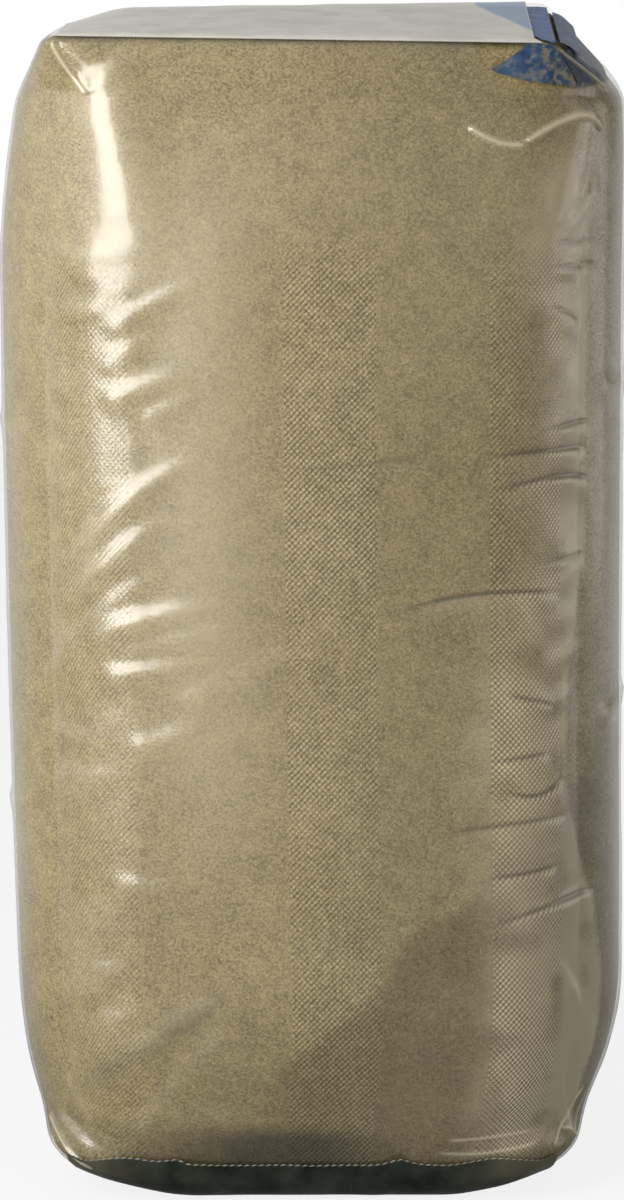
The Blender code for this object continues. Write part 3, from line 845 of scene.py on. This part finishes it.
def bottom_patch_material():
    """Dark glossy film, dusted at its turned-up corners, with a highlight painted pale along its
    saw-cut edge.
    """
    material, make, output = blank_material("dark_patch_film")
    place = own_place(make)
    cloud, smear = noise(make, place, 70.0, 5.0), noise(make, place, 22.0, 3.0)
    colour = colour_steps(make, cloud, DARK_STEPS)
    dust = maths(make, "MULTIPLY", kept_value(make, "dusty"), remap(make, smear, 0.35, 0.65))
    colour = mixed(make, dust, colour, DARK_DUST)
    # Painted highlight: pale on the tips of the saw-cut edge's teeth
    colour = mixed(make, kept_value(make, "edge"), colour, SAW_EDGE_HIGHLIGHT)
    shader = painted(make, colour, 0.22, 0.18, bumped(make, cloud, 0.0012, 0.5))
    return finished(material, output, shader)


# The blue sleeve's film: lit where it faces up, a darker copy painted as shade inside the corner, and
# the sand on it
LIT_BLUE_STEPS = ((0.35, (0.008, 0.066, 0.220)), (0.68, (0.030, 0.130, 0.360)))
SHADED_BLUE_STEPS = ((0.35, (0.008, 0.026, 0.062)), (0.68, (0.030, 0.062, 0.110)))
BLUE_DUST = (0.210, 0.195, 0.130)


def blue_material():
    """Blue sleeve film: lit where it faces up, shade painted darker and dusted with sand inside the
    corner.
    """
    material, make, output = blank_material("blue_sleeve_film")
    place = own_place(make)
    cloud, smear = noise(make, place, 150.0, 4.0), noise(make, place, 330.0, 3.0)
    lit_blue = colour_steps(make, cloud, LIT_BLUE_STEPS)
    shaded_blue = colour_steps(make, cloud, SHADED_BLUE_STEPS)
    # Painted shade: the darker blue inside the corner, a shaded copy of the lit one
    colour = mixed(make, kept_value(make, "in_shade"), lit_blue, shaded_blue)
    dust = maths(make, "MULTIPLY", kept_value(make, "dusted"), remap(make, smear, 0.46, 0.60))
    colour = mixed(make, dust, colour, BLUE_DUST)
    shader = painted(make, colour, 0.45, 0.10, bumped(make, cloud, 0.0010, 0.5))
    return finished(material, output, shader)


def in_slit(centre):
    """True for the cage's faces that the valve's slit takes away."""
    across = centre.x > CAGE_HALF_X - HAIR and abs(centre.y) < SLIT_REACH
    return across and HEAD_Z - SLIT_FROM < centre.z < HEAD_Z - SLIT_TO


# The mesh lines of the film and the sand along each way: where they start, then each
# stretch's end and about how far apart its lines are
FILM_LINES_X = (-CAGE_HALF_X, (-0.040, 0.0025), (0.050, 0.0032), (CAGE_HALF_X, 0.0025))
FILM_LINES_Y = (-CAGE_HALF_Y, (-0.030, 0.0025), (0.030, 0.0045), (CAGE_HALF_Y, 0.0028))
FILM_LINES_Z = (
    BASE_Z,
    (0.040, 0.0020),
    (0.460, 0.0024),
    (HEAD_Z - SLIT_FROM, 0.0020),
    (HEAD_Z - SLIT_TO, 0.0019),
    (HEAD_Z, 0.0008),
)
SAND_LINES_X = (-CAGE_HALF_X, (-0.100, 0.0030), (0.100, 0.0040), (CAGE_HALF_X, 0.0030))
SAND_LINES_Y = (-CAGE_HALF_Y, (CAGE_HALF_Y, 0.0045))
SAND_LINES_Z = (BASE_Z, (0.040, 0.0030), (0.470, 0.0036), (HEAD_Z, 0.0030))
# How much of the film's relief the sand follows, and how it draws back under the valve
SAND_FOLLOWS, SAND_UNDER_VALVE = 0.25, 0.0012
UNDER_VALVE_X, UNDER_VALVE_Z = (0.060, 0.080), (0.478, 0.492)
# The film counts as wholly off the sand where it stands this proud
WHOLLY_OFF = 0.0022


def make_film():
    """The clear film: one closed skin with every gather in it."""
    lines = [spread(parts) for parts in (FILM_LINES_X, FILM_LINES_Y, FILM_LINES_Z)]
    mesh, cage = box_of_lines(*lines, near_crease, in_slit)
    points = on_form(cage)
    write_points(mesh, points)
    girth, z, on_side = cage_girth(cage), cage[:, 2], side_share(cage)
    proud = film_relief(cage)
    grooves = grooved(girth, z) * on_side
    write_points(mesh, points + read_normals(mesh) * (proud + grooves)[:, None])
    unroll(mesh, cage)
    # How milky the film is: where it stands off the sand, and the painted highlight beside the right
    # corner
    off_sand_and_highlight = proud / WHOLLY_OFF + hazy_highlight_share(cage)
    point_values(mesh, "off_sand_and_highlight", np.clip(off_sand_and_highlight, 0.0, HAZE_MOST))
    # How deep each sharp crease is, for the shade painted in it
    point_values(mesh, "crease_shade", -grooves / CREASE_DEEP)
    # The narrow welts, where a highlight is painted
    point_values(mesh, "cut_edge", edge_shine(girth, z) * on_side)
    point_values(mesh, "at_valve", valve_share(cage))
    film = piece_of("film_sack_skin", mesh, clear_film_material())
    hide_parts("film_sack")


# The damp corner at the lower right: its slanted edge's height at x = 0, how soft it is and how far it
# wanders, and how dark it is by itself and with the painted shade of the right side
CORNER_EDGE_Z, CORNER_SOFT, CORNER_WANDER = 0.077, 0.005, 0.016
CORNER_FROM, CORNER_DAMP, CORNER_RIGHT_SHADE = (-0.040, 0.0), 0.47, 0.40
# Painted shade that darkens the right side: how dark, over which x it comes, and y where it ends
RIGHT_SHADE, RIGHT_SHADE_FROM, RIGHT_SHADE_BACK = 0.22, (-0.035, 0.060), (-0.02, 0.02)
# Painted shade in a rim over the base: darkest about its middle, with a faint tail above it
RIM_X, RIM_HALF, RIM_HEIGHTS = -0.012, 0.052, (0.029, 0.046)
RIM_ENDS, RIM_MIDDLE = 0.26, 0.84
TAIL_SHADE, TAIL_HEIGHTS = 0.24, (0.045, 0.110)
# A painted shadow in broken streaks under the top patch's saw-cut edge, below the head by so much
EDGE_SHADOW_LEAST, EDGE_SHADOW_MORE, EDGE_SHADOW_BELOW = 0.18, 0.62, (0.0062, 0.0040)
# Painted shade and dark reflection in folds at the lower left, as slanted smears: x, z, half length
# and half height; their slant and tone
FOLD_SHADES = (
    (-0.055, 0.086, 0.018, 0.005),
    (-0.088, 0.063, 0.013, 0.004),
    (-0.066, 0.026, 0.007, 0.003),
)
FOLD_SHADE_RUN, FOLD_SHADE_RISE, FOLD_SHADE_DARK = 0.8, 0.6, 0.62


def damp_and_shade_share(points):
    """How dark the sand is at its points: a damp lower corner, and painted shade towards the right, in
    a rim over the base, in folds at the lower left and as a line under the top edge.
    """
    x, y, z = points.T
    at_front = y < 0
    wander = CORNER_WANDER * (value_noise(x * 70 + 5, z * 70, 21) - 0.5)
    corner = ramp(CORNER_EDGE_Z + x + wander - z, 0.0, CORNER_SOFT) * ramp(x, *CORNER_FROM)
    # Painted shade, darker towards the right
    right_shade = RIGHT_SHADE * ramp(x, *RIGHT_SHADE_FROM) * (1 - ramp(y, *RIGHT_SHADE_BACK))
    corner = np.maximum(CORNER_DAMP * corner + CORNER_RIGHT_SHADE * right_shade, right_shade)
    # Painted shade over the base, darkest about the middle
    middle = hump(x - RIM_X, RIM_HALF)
    rim = (1 - ramp(z, *RIM_HEIGHTS)) * (RIM_ENDS + RIM_MIDDLE * middle)
    rim = np.maximum(rim, TAIL_SHADE * middle * (1 - ramp(z, *TAIL_HEIGHTS)))
    # Painted shadow under the top patch's edge, broken into streaks
    low, high = EDGE_SHADOW_BELOW
    edge_shadow = EDGE_SHADOW_LEAST + EDGE_SHADOW_MORE * value_noise(x * 190, 0 * x, 23)
    edge_shadow = edge_shadow * ramp(z, HEAD_Z - low, HEAD_Z - high) * at_front
    # Painted shade and dark reflection in the folds at the lower left
    fold_shades = np.zeros_like(x)
    for shade_x, shade_z, half_long, half_high in FOLD_SHADES:
        along = (x - shade_x) * FOLD_SHADE_RUN + (z - shade_z) * FOLD_SHADE_RISE
        across = (z - shade_z) * FOLD_SHADE_RUN - (x - shade_x) * FOLD_SHADE_RISE
        fold_shades = fold_shades + FOLD_SHADE_DARK * hump(along, half_long) * hump(across, half_high)
    return np.maximum(np.maximum(corner, rim), np.maximum(edge_shadow, fold_shades * at_front))


def make_sand():
    """The sand, which follows the broad gathers a little."""
    lines = [spread(parts) for parts in (SAND_LINES_X, SAND_LINES_Y, SAND_LINES_Z)]
    mesh, cage = box_of_lines(*lines)
    points = on_form(cage)
    write_points(mesh, points)
    under_valve = ramp(cage[:, 0], *UNDER_VALVE_X) * ramp(cage[:, 2], *UNDER_VALVE_Z)
    inwards = SAND_DEEP - SAND_FOLLOWS * film_relief(cage) + SAND_UNDER_VALVE * under_valve
    write_points(mesh, points - read_normals(mesh) * inwards[:, None])
    unroll(mesh, cage)
    # The sand's damp, and the shade painted into its colour
    point_values(mesh, "damp_and_shade", damp_and_shade_share(points))
    sand = piece_of("sand_grains", mesh, sand_material())
    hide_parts("sand_fill")


def sheet_of(lines_u, lines_v):
    """A flat grid cut along the given lines, and its points' places in them."""
    bm = bmesh.new()
    bmesh.ops.create_grid(bm, x_segments=len(lines_u) - 1, y_segments=len(lines_v) - 1, size=0.5)
    mesh = mesh_from(bm, "sheet")
    co = read_points(mesh)
    column = np.rint((co[:, 0] + 0.5) * (len(lines_u) - 1)).astype(int)
    row = np.rint((co[:, 1] + 0.5) * (len(lines_v) - 1)).astype(int)
    return mesh, np.array(lines_u)[column], np.array(lines_v)[row], column, row


def laid_on_form(mesh, cage, off):
    """Lays a sheet's points on the sack's smooth form at their cage places, off it by so much."""
    points = on_form(cage)
    write_points(mesh, points)
    write_points(mesh, points + read_normals(mesh) * np.reshape(off, (-1, 1)))


def sleeve_left(y):
    """Where the sleeve's top ply ends under the patch, cut at a slant."""
    return np.interp(y, (-CAGE_HALF_Y, SLEEVE_BACK), (SLEEVE_LEFT_FRONT, SLEEVE_LEFT_BACK))


# The top patch: its left end, its back edge in from the block's, its rows, how much it puffs
# up, and how much of the sleeve's blue shows through over how soft an edge
TOP_PATCH_LEFT, TOP_PATCH_IN = -0.1345, 0.001
LAP_ROW, TOP_ROW = 0.0006, 0.0045
TOP_PUFF, BLUE_THROUGH, BLUE_SOFT = 0.0005, 0.85, 0.0010


def make_top_patch():
    """The pale sheet over the top block, its front edge saw-cut and lapped over the edge."""
    lines_x = np.arange(TOP_PATCH_LEFT, TOP_PATCH_RIGHT, TOP_TOOTH / 2)
    front, back = -CAGE_HALF_Y - TOP_OVERHANG, CAGE_HALF_Y - TOP_PATCH_IN
    lines_y = spread((front, (-CAGE_HALF_Y, LAP_ROW), (back, TOP_ROW)))
    mesh, x, y, column, row = sheet_of(lines_x, lines_y)
    y = np.where((row == 0) & (column % 2 == 1), y + TOP_TOOTH_DEEP, y)
    over = np.maximum(-CAGE_HALF_Y - y, 0.0)
    cage = np.column_stack((x, np.maximum(y, -CAGE_HALF_Y), HEAD_Z - over))
    puff = TOP_PUFF * value_noise(x * 55, y * 40 + 3, 31) * (row > 1)
    laid_on_form(mesh, cage, PATCH_OFF + puff)
    at_edge = (row == 0) | (column == 0) | (column == len(lines_x) - 1)
    point_values(mesh, "edge", at_edge.astype(float))
    point_values(mesh, "tinted", BLUE_THROUGH * ramp(x - sleeve_left(y), 0.0, BLUE_SOFT))
    patch = piece_of("top_patch_sheet", mesh, top_patch_material())
    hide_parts("top_cover_patch")


# The bottom patch: half its length, how high its saw-cut edge runs above the seam's line, the
# puckers in that edge (x, half width and height), and how it drops towards the ends
BASE_PATCH_HALF, SEAM_UP = 0.1340, 0.0034
PUCKERS, PUCKER_SHARPNESS = ((-0.068, 0.007, 0.0022), (0.042, 0.006, 0.0038)), 1.5
SEAM_DROP, SEAM_DROP_X = 0.010, (0.084, 0.122)
# Its rows: two close to the edge, then so many up each side and across the flat
EDGE_ROWS, SIDE_ROWS, FLAT_ROWS = (1.0, 0.965), np.linspace(0.93, 0.0, 8), np.linspace(-1, 1, 27)
# Its relief: soft waves, and two folds (x) of one half width, that start above the turn
BASE_WAVE, BASE_FOLD, BASE_FOLD_HALF, BASE_FOLDS = 0.0012, 0.0013, 0.004, (-0.062, 0.042)
BASE_WAVE_UP, BASE_FOLD_UP = (0.0, 0.3), (0.05, 0.6)
DUSTY_X, DUSTY_UP = (0.070, 0.105), (0.15, 0.6)


def seam_height(x):
    """How high on the cage the bottom patch's saw-cut edge runs at x."""
    height = SEAM_Z + SEAM_UP - SEAM_DROP * ramp(abs(x), *SEAM_DROP_X)
    for pucker_x, half, high in PUCKERS:
        height = height + high * hump(x - pucker_x, half, PUCKER_SHARPNESS)
    return height


def make_bottom_patch():
    """The dark sheet under the base, turned up to a saw-cut edge on the two long sides."""
    lines_x = np.arange(-BASE_PATCH_HALF, BASE_PATCH_HALF + MM / 10, BASE_TOOTH / 2)
    rise = np.concatenate((EDGE_ROWS, SIDE_ROWS))
    lines_v = np.concatenate((-1 - rise, FLAT_ROWS[1:-1], 1 + rise[::-1]))
    mesh, x, v, column, row = sheet_of(lines_x, lines_v)
    top = seam_height(x) - np.where(column % 2 == 1, BASE_TOOTH_DEEP, 0.0)
    up = np.maximum(abs(v) - 1.0, 0.0)
    cage = np.column_stack((x, np.clip(-v, -1, 1) * CAGE_HALF_Y, BASE_Z + (top - BASE_Z) * up))
    relief = BASE_WAVE * value_noise(x * 60, v * 3 + 9, 41) * ramp(up, *BASE_WAVE_UP)
    for fold_x in BASE_FOLDS:
        relief = relief + BASE_FOLD * hump(x - fold_x, BASE_FOLD_HALF) * ramp(up, *BASE_FOLD_UP)
    laid_on_form(mesh, cage, PATCH_OFF + relief)
    at_seam = (row == 0) | (row == len(lines_v) - 1)
    # The tips of the saw-cut teeth, where the highlight is painted
    point_values(mesh, "edge", (at_seam & (column % 2 == 0)).astype(float))
    point_values(mesh, "dusty", ramp(abs(x), *DUSTY_X) * ramp(up, *DUSTY_UP))
    patch = piece_of("bottom_patch_sheet", mesh, bottom_patch_material())
    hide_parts("bottom_cover_patch")


# The sleeve's triangle behind the front film: where it starts, how far its ends stay off the
# cage's corner and the head, and how it drops, frays and rises from there
TRIANGLE_GIRTH, TRIANGLE_Z, TRIANGLE_IN, TRIANGLE_UNDER = 0.089, 0.5000, 0.0005, 0.0003
TRIANGLE_DROP, TRIANGLE_DROP_POWER, TRIANGLE_FRAY, TRIANGLE_RISE = 0.0090, 0.55, 0.0010, 0.0165
# The lip's half length and its drops from the head, and how far it is lifted at each of them
LIP_HALF = 0.0480
LIP_DROPS, LIP_LIFTS = (-0.0090, -0.0048, -0.0020), (0.0012, 0.0006, -0.0006)
# How crumpled the end ply and the triangle are
END_CRUMPLE, TRIANGLE_CRUMPLE = 0.0004, 0.0007


def sleeve_sheet(mesh, cage, off, in_shade, dusted):
    """Lays one of the sleeve's sheets and keeps how much painted shade and how much dust it has."""
    laid_on_form(mesh, cage, off)
    point_values(mesh, "in_shade", np.full(len(cage), in_shade))
    point_values(mesh, "dusted", dusted + np.zeros(len(cage)))
    return mesh


def sleeve_top_ply():
    """The top ply, cut off at a slant, to the slit in the rounded edge."""
    lines_y = np.linspace(SLEEVE_FRONT, SLEEVE_BACK, 25)
    mesh, share, y, _, _ = sheet_of(np.linspace(0, 1, 25), lines_y)
    left = sleeve_left(y)
    x = left + (CAGE_HALF_X + SLIT_TO - left) * share
    over = np.maximum(x - CAGE_HALF_X, 0.0)
    cage = np.column_stack((np.minimum(x, CAGE_HALF_X), y, HEAD_Z - over))
    return sleeve_sheet(mesh, cage, -SLEEVE_DEEP, in_shade=0.0, dusted=0.0)


def sleeve_end_ply():
    """The ply that lies down the end, below the slit."""
    lines_y = np.linspace(SLEEVE_FRONT, SLEEVE_BACK, 40)
    mesh, y, z, _, _ = sheet_of(lines_y, np.linspace(SLEEVE_LOW, HEAD_Z - SLIT_FROM, 16))
    cage = np.column_stack((np.full_like(y, CAGE_HALF_X), y, z))
    crumpled = END_CRUMPLE * value_noise(y * 150, z * 130, 51)
    dusted = 0.6 * (1 - ramp(z, SLEEVE_LOW, SLEEVE_LOW + 0.008))
    return sleeve_sheet(mesh, cage, -SLEEVE_DEEP - crumpled, in_shade=1.0, dusted=dusted)


def sleeve_triangle():
    """The triangle behind the front film."""
    mesh, share, rise, _, _ = sheet_of(np.linspace(0, 1, 45), np.linspace(0, 1, 22))
    girth = TRIANGLE_GIRTH + (CAGE_HALF_X - TRIANGLE_IN - TRIANGLE_GIRTH) * share
    frayed = TRIANGLE_FRAY * value_noise(share * 14, 0 * share, 52)
    low = TRIANGLE_Z - TRIANGLE_DROP * share**TRIANGLE_DROP_POWER - frayed
    high = np.minimum(TRIANGLE_Z + TRIANGLE_RISE * share, HEAD_Z - TRIANGLE_UNDER)
    cage = np.column_stack((girth, np.full_like(girth, -CAGE_HALF_Y), low + (high - low) * rise))
    crumpled = TRIANGLE_CRUMPLE * value_noise(share * 13, rise * 6, 53)
    dusted = 0.35 + 0.65 * ramp(share + 0.4 * (1 - rise), 0.45, 1.1)
    return sleeve_sheet(mesh, cage, -SLEEVE_DEEP - crumpled, in_shade=0.75, dusted=dusted)


def sleeve_lip():
    """The lip that comes out of the slit and lies down over the end."""
    lines_drop = np.linspace(LIP_DROPS[0], LIP_DROPS[-1], 9)
    mesh, y, drop, _, _ = sheet_of(np.linspace(-LIP_HALF, LIP_HALF, 49), lines_drop)
    cage = np.column_stack((np.full_like(y, CAGE_HALF_X), y, HEAD_Z + drop))
    lifted = np.interp(drop, LIP_DROPS, LIP_LIFTS)
    return sleeve_sheet(mesh, cage, lifted, in_shade=0.6, dusted=0.25)


def make_sleeve():
    """The blue sleeve: its top ply, the ply down the end, the corner's triangle and its lip."""
    bm = bmesh.new()
    for sheet in (sleeve_top_ply(), sleeve_end_ply(), sleeve_triangle(), sleeve_lip()):
        bm.from_mesh(sheet)
    sleeve = piece_of("valve_sleeve_film", mesh_from(bm, "valve_sleeve_film"), blue_material())
    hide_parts("valve_sleeve")


def set_light(name, place, aim, width, height, watts, colour):
    """One soft lamp aimed at a point."""
    lamp = bpy.data.lights.new(name, "AREA")
    lamp.shape = "RECTANGLE"
    lamp.size, lamp.size_y = width, height
    lamp.energy = watts
    lamp.color = colour
    holder = bpy.data.objects.new(name, lamp)
    bpy.context.collection.objects.link(holder)
    holder.location = place
    holder.rotation_euler = (Vector(aim) - Vector(place)).to_track_quat("-Z", "Y").to_euler()


# What the film mirrors: the floor, dim before the sack and white behind it, and the studio's
# walls, by direction: white behind, white on the left, and half of that overhead
FLOOR_HALF, FLOOR_GREY, FLOOR_WHITE = 4.0, (0.80, 0.80, 0.80, 1.0), 0.85
FLOOR_DIM, FLOOR_DIM_Y = 0.07, (-0.10, 0.50)
ROOM_LIGHT, ROOM_STRENGTH = (0.90, 0.93, 1.0, 1.0), 0.24
WHITE = (1.0, 1.0, 1.0, 1.0)
BEHIND_DIM, CEILING = 0.05, 0.50
TURN_FROM, TURN_TO = 0.45, 0.85


def white_backdrop(make, mirrored_level):
    """Where the white backdrop is seen, and how bright: 1 for the camera, and the given level
    in what mirrors and through what is clear.
    """
    rays = make("ShaderNodeLightPath").node.outputs
    camera = rays["Is Camera Ray"]
    mirrored = maths(make, "MAXIMUM", rays["Is Glossy Ray"], rays["Is Transmission Ray"])
    level = maths(make, "MAXIMUM", camera, maths(make, "MULTIPLY", mirrored, mirrored_level))
    return maths(make, "MAXIMUM", camera, mirrored), level


def make_floor():
    """The pale floor, white to the camera, which keeps the sack's shadow."""
    bm = bmesh.new()
    bmesh.ops.create_grid(bm, x_segments=1, y_segments=1, size=FLOOR_HALF)
    mesh = mesh_from(bm, "studio_floor")
    floor = bpy.data.objects.new("studio_floor", mesh)
    bpy.context.collection.objects.link(floor)
    material, make, output = blank_material("studio_floor")
    place = make("ShaderNodeSeparateXYZ", (0, own_place(make)))
    before = remap(make, place.node.outputs[1], *FLOOR_DIM_Y, FLOOR_DIM, 1.0)
    seen, level = white_backdrop(make, before)
    white = make("ShaderNodeEmission", ("Color", WHITE), ("Strength", level))
    pale = make("ShaderNodeBsdfDiffuse", ("Color", FLOOR_GREY))
    both = covered(make, maths(make, "MULTIPLY", seen, FLOOR_WHITE), pale, white)
    mesh.materials.append(finished(material, output, both))


def make_room():
    """The world: plain soft light, with a white backdrop for the camera and for mirrors."""
    world = bpy.data.worlds.new("studio")
    bpy.context.scene.world = world
    world.use_nodes = True
    tree = world.node_tree
    tree.nodes.clear()
    make = node_maker(world)
    way = make("ShaderNodeSeparateXYZ", (0, make("ShaderNodeTexCoord")))
    x, y, z = way.node.outputs
    around = remap(make, y, TURN_FROM, TURN_TO, BEHIND_DIM, 1.0)
    around = maths(make, "MAXIMUM", around, remap(make, x, -TURN_FROM, -TURN_TO))
    around = maths(make, "MAXIMUM", around, remap(make, z, TURN_FROM, TURN_TO, 0.0, CEILING))
    seen, level = white_backdrop(make, around)
    plain = make("ShaderNodeBackground", ("Color", ROOM_LIGHT), ("Strength", ROOM_STRENGTH))
    backdrop = make("ShaderNodeBackground", ("Color", WHITE), ("Strength", level))
    output = tree.nodes.new("ShaderNodeOutputWorld")
    finished(world, output, covered(make, seen, plain, backdrop))


# The lamps: a soft box at the left front for the long highlight, and a warm panel at the
# right. Each has its place, its aim, its width and height, its watts and its colour
LAMPS = {
    "left_softbox": ((-0.62, -0.76, 0.66), (0.0, 0.0, 0.27), 0.58, 1.0, 13, (1.0, 0.98, 0.95)),
    "right_panel": ((1.75, 0.0, 0.45), (0.0, 0.0, 0.26), 1.25, 1.5, 8, (1.0, 0.94, 0.84)),
}


# The photograph's view: its aim, its distance, its rise in degrees and the height it takes in
AIM, CAMERA_FAR, CAMERA_RISE, VIEW_HEIGHT = (0.0, 0.0, 0.2585), 2.2, 10.0, 0.5268
SENSOR_MM = 24.0


def set_camera():
    """The photograph's view: a little above the sack, from about two metres."""
    lens = bpy.data.cameras.new("camera")
    camera = bpy.data.objects.new("camera", lens)
    bpy.context.collection.objects.link(camera)
    rise = math.radians(CAMERA_RISE)
    aim = Vector(AIM)
    camera.location = aim + Vector((0, -math.cos(rise), math.sin(rise))) * CAMERA_FAR
    camera.rotation_euler = (aim - camera.location).to_track_quat("-Z", "Y").to_euler()
    lens.sensor_fit = "VERTICAL"
    lens.sensor_height = SENSOR_MM
    lens.lens = SENSOR_MM * CAMERA_FAR / VIEW_HEIGHT
    bpy.context.scene.camera = camera


bpy.context.scene.view_settings.view_transform = "Standard"
make_film()
make_sand()
make_top_patch()
make_bottom_patch()
make_sleeve()
make_floor()
make_room()
for lamp_name, lamp_values in LAMPS.items():
    set_light(lamp_name, *lamp_values)
set_camera()
